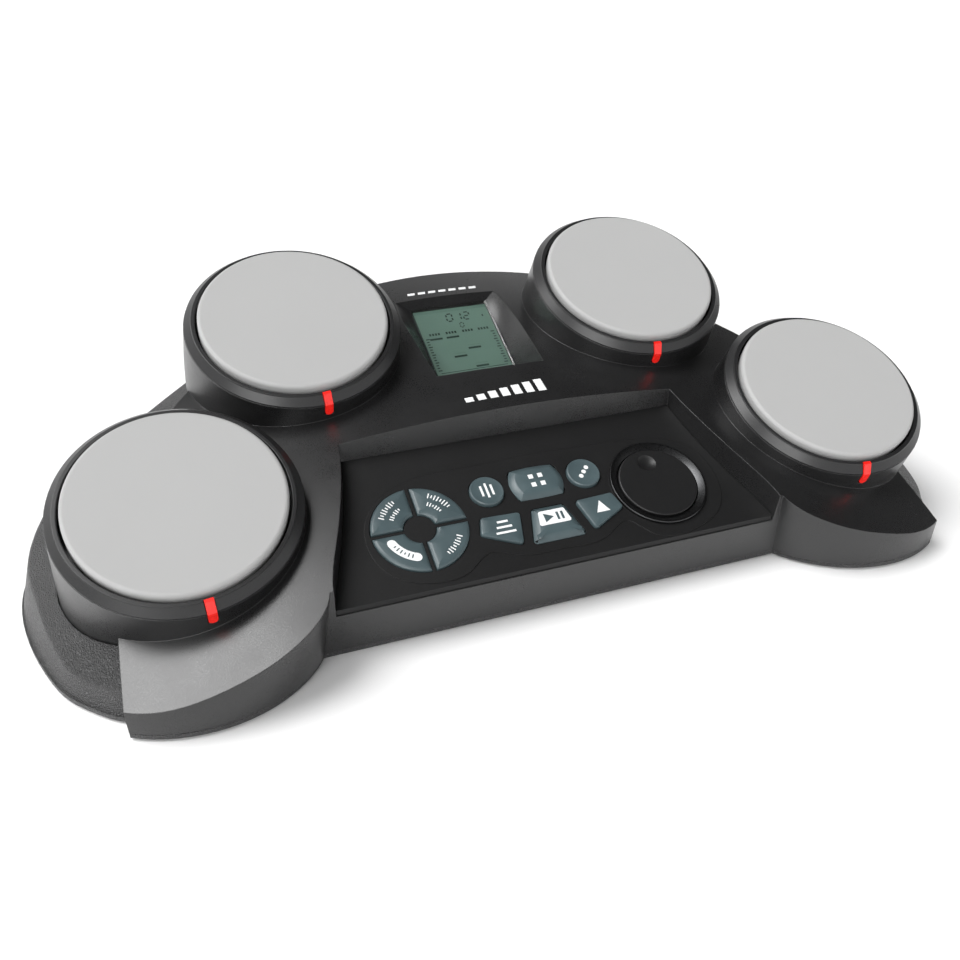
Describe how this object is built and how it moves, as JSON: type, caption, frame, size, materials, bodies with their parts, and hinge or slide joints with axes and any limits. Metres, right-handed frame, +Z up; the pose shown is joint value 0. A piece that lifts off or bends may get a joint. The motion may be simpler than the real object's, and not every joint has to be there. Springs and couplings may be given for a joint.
{
  "type": "electronic drum pad",
  "caption": "Tabletop electronic drum kit: round sprung playing pads on a moulded case with a display, key panel and jog dial.",
  "frame": {"origin": "centre of the object's bounding box, at the bottom of its rubber feet", "axes": "+X to the player's right, +Y away from the player, +Z up; the case is mirror-symmetric across X = 0"},
  "size_m": [0.5176, 0.2471, 0.1418],
  "materials": {
    "case_black": "satin gloss moulded black",
    "panel_black": "fine matte black panel",
    "case_texture": "coarse leather-grain moulding",
    "pad_rubber": "light grey moulded rubber",
    "steel_plate": "zinc-plated sheet",
    "brass_disc": "thin brass disc",
    "foam": "soft closed-cell foam",
    "bezel_grey": "satin dark grey moulding",
    "light_red": "translucent red, lit from inside",
    "button_grey": "slate grey keys with white marks",
    "dial_black": "satin black dial",
    "trim_silver": "bright satin ring",
    "metal_can": "plain steel",
    "membrane": "translucent grey silicone",
    "board_green": "green circuit board",
    "lcd_clear": "clear flat window",
    "lcd_green": "reflective grey-green liquid crystal",
    "speaker_black": "paper cone on a steel basket",
    "jack_black": "black moulded socket",
    "cell_jacket": "printed steel jacket",
    "foot_rubber": "soft black rubber",
    "screw_steel": "black-oxide steel"
  },
  "bodies": {
    "case": {"top_cover": "case_black", "control_panel": "panel_black", "lower_case": "case_texture", "foam_ring_back_left": "foam", "bezel_back_left": "bezel_grey", "pad_light_back_left": "light_red", "foam_ring_back_right": "foam", "bezel_back_right": "bezel_grey", "pad_light_back_right": "light_red", "foam_ring_front_left": "foam", "bezel_front_left": "bezel_grey", "pad_light_front_left": "light_red", "foam_ring_front_right": "foam", "bezel_front_right": "bezel_grey", "pad_light_front_right": "light_red", "dial_trim": "trim_silver", "dial_encoder": "metal_can", "button_membrane": "membrane", "button_board": "board_green", "main_board": "board_green", "jack_board": "board_green", "lcd_lens": "lcd_clear", "lcd_module": "lcd_green", "speaker_left": "speaker_black", "speaker_right": "speaker_black", "kick_jack": "jack_black", "hihat_jack": "jack_black", "phones_jack": "jack_black", "aux_jack": "jack_black", "dc_jack": "jack_black", "batteries": "cell_jacket", "battery_contacts": "metal_can", "rubber_feet": "foot_rubber", "case_screws": "screw_steel"},
    "pad_back_left": {"pad_skin_back_left": "pad_rubber", "pad_plate_back_left": "steel_plate", "piezo_back_left": "brass_disc"},
    "pad_back_right": {"pad_skin_back_right": "pad_rubber", "pad_plate_back_right": "steel_plate", "piezo_back_right": "brass_disc"},
    "pad_front_left": {"pad_skin_front_left": "pad_rubber", "pad_plate_front_left": "steel_plate", "piezo_front_left": "brass_disc"},
    "pad_front_right": {"pad_skin_front_right": "pad_rubber", "pad_plate_front_right": "steel_plate", "piezo_front_right": "brass_disc"},
    "button_ring_ne_body": {"button_ring_ne": "button_grey"},
    "button_ring_nw_body": {"button_ring_nw": "button_grey"},
    "button_ring_sw_body": {"button_ring_sw": "button_grey"},
    "button_ring_se_body": {"button_ring_se": "button_grey"},
    "button_tempo_body": {"button_tempo": "button_grey"},
    "button_assign_body": {"button_assign": "button_grey"},
    "button_chord_body": {"button_chord": "button_grey"},
    "button_coach_body": {"button_coach": "button_grey"},
    "button_start_body": {"button_start": "button_grey"},
    "button_game_body": {"button_game": "button_grey"},
    "dial": {"jog_dial": "dial_black"},
    "power": {"power_button": "button_grey"},
    "door": {"battery_door": "case_texture"}
  },
  "joints": [
    {"name": "strike_back_left", "type": "slide", "parent": "case", "child": "pad_back_left", "axis": [0, 0.4384, -0.8988], "range_m": [0, 0.001], "stiffness_N_per_m": 6000},
    {"name": "strike_back_right", "type": "slide", "parent": "case", "child": "pad_back_right", "axis": [0, 0.4384, -0.8988], "range_m": [0, 0.001], "stiffness_N_per_m": 6000},
    {"name": "strike_front_left", "type": "slide", "parent": "case", "child": "pad_front_left", "axis": [0, 0.4384, -0.8988], "range_m": [0, 0.001], "stiffness_N_per_m": 6000},
    {"name": "strike_front_right", "type": "slide", "parent": "case", "child": "pad_front_right", "axis": [0, 0.4384, -0.8988], "range_m": [0, 0.001], "stiffness_N_per_m": 6000},
    {"name": "press_ring_ne", "type": "slide", "parent": "case", "child": "button_ring_ne_body", "axis": [0, 0.4012, -0.916], "range_m": [0, 0.001], "stiffness_N_per_m": 800},
    {"name": "press_ring_nw", "type": "slide", "parent": "case", "child": "button_ring_nw_body", "axis": [0, 0.4012, -0.916], "range_m": [0, 0.001], "stiffness_N_per_m": 800},
    {"name": "press_ring_sw", "type": "slide", "parent": "case", "child": "button_ring_sw_body", "axis": [0, 0.4012, -0.916], "range_m": [0, 0.001], "stiffness_N_per_m": 800},
    {"name": "press_ring_se", "type": "slide", "parent": "case", "child": "button_ring_se_body", "axis": [0, 0.4012, -0.916], "range_m": [0, 0.001], "stiffness_N_per_m": 800},
    {"name": "press_tempo", "type": "slide", "parent": "case", "child": "button_tempo_body", "axis": [0, 0.4012, -0.916], "range_m": [0, 0.001], "stiffness_N_per_m": 800},
    {"name": "press_assign", "type": "slide", "parent": "case", "child": "button_assign_body", "axis": [0, 0.4012, -0.916], "range_m": [0, 0.001], "stiffness_N_per_m": 800},
    {"name": "press_chord", "type": "slide", "parent": "case", "child": "button_chord_body", "axis": [0, 0.4012, -0.916], "range_m": [0, 0.001], "stiffness_N_per_m": 800},
    {"name": "press_coach", "type": "slide", "parent": "case", "child": "button_coach_body", "axis": [0, 0.4012, -0.916], "range_m": [0, 0.001], "stiffness_N_per_m": 800},
    {"name": "press_start", "type": "slide", "parent": "case", "child": "button_start_body", "axis": [0, 0.4012, -0.916], "range_m": [0, 0.001], "stiffness_N_per_m": 800},
    {"name": "press_game", "type": "slide", "parent": "case", "child": "button_game_body", "axis": [0, 0.4012, -0.916], "range_m": [0, 0.001], "stiffness_N_per_m": 800},
    {"name": "dial_turn", "type": "hinge", "parent": "case", "child": "dial", "pos_m": [0.0645, -0.0649, 0.04324], "axis": [0, -0.4012, 0.916], "continuous": true},
    {"name": "power_press", "type": "slide", "parent": "case", "child": "power", "axis": [0, -1, 0], "range_m": [0, 0.0018], "stiffness_N_per_m": 500},
    {"name": "battery_door_hinge", "type": "hinge", "parent": "case", "child": "door", "pos_m": [0, -0.0149, 0.0025], "axis": [1, 0, 0], "range_deg": [0, 100]}
  ]
}
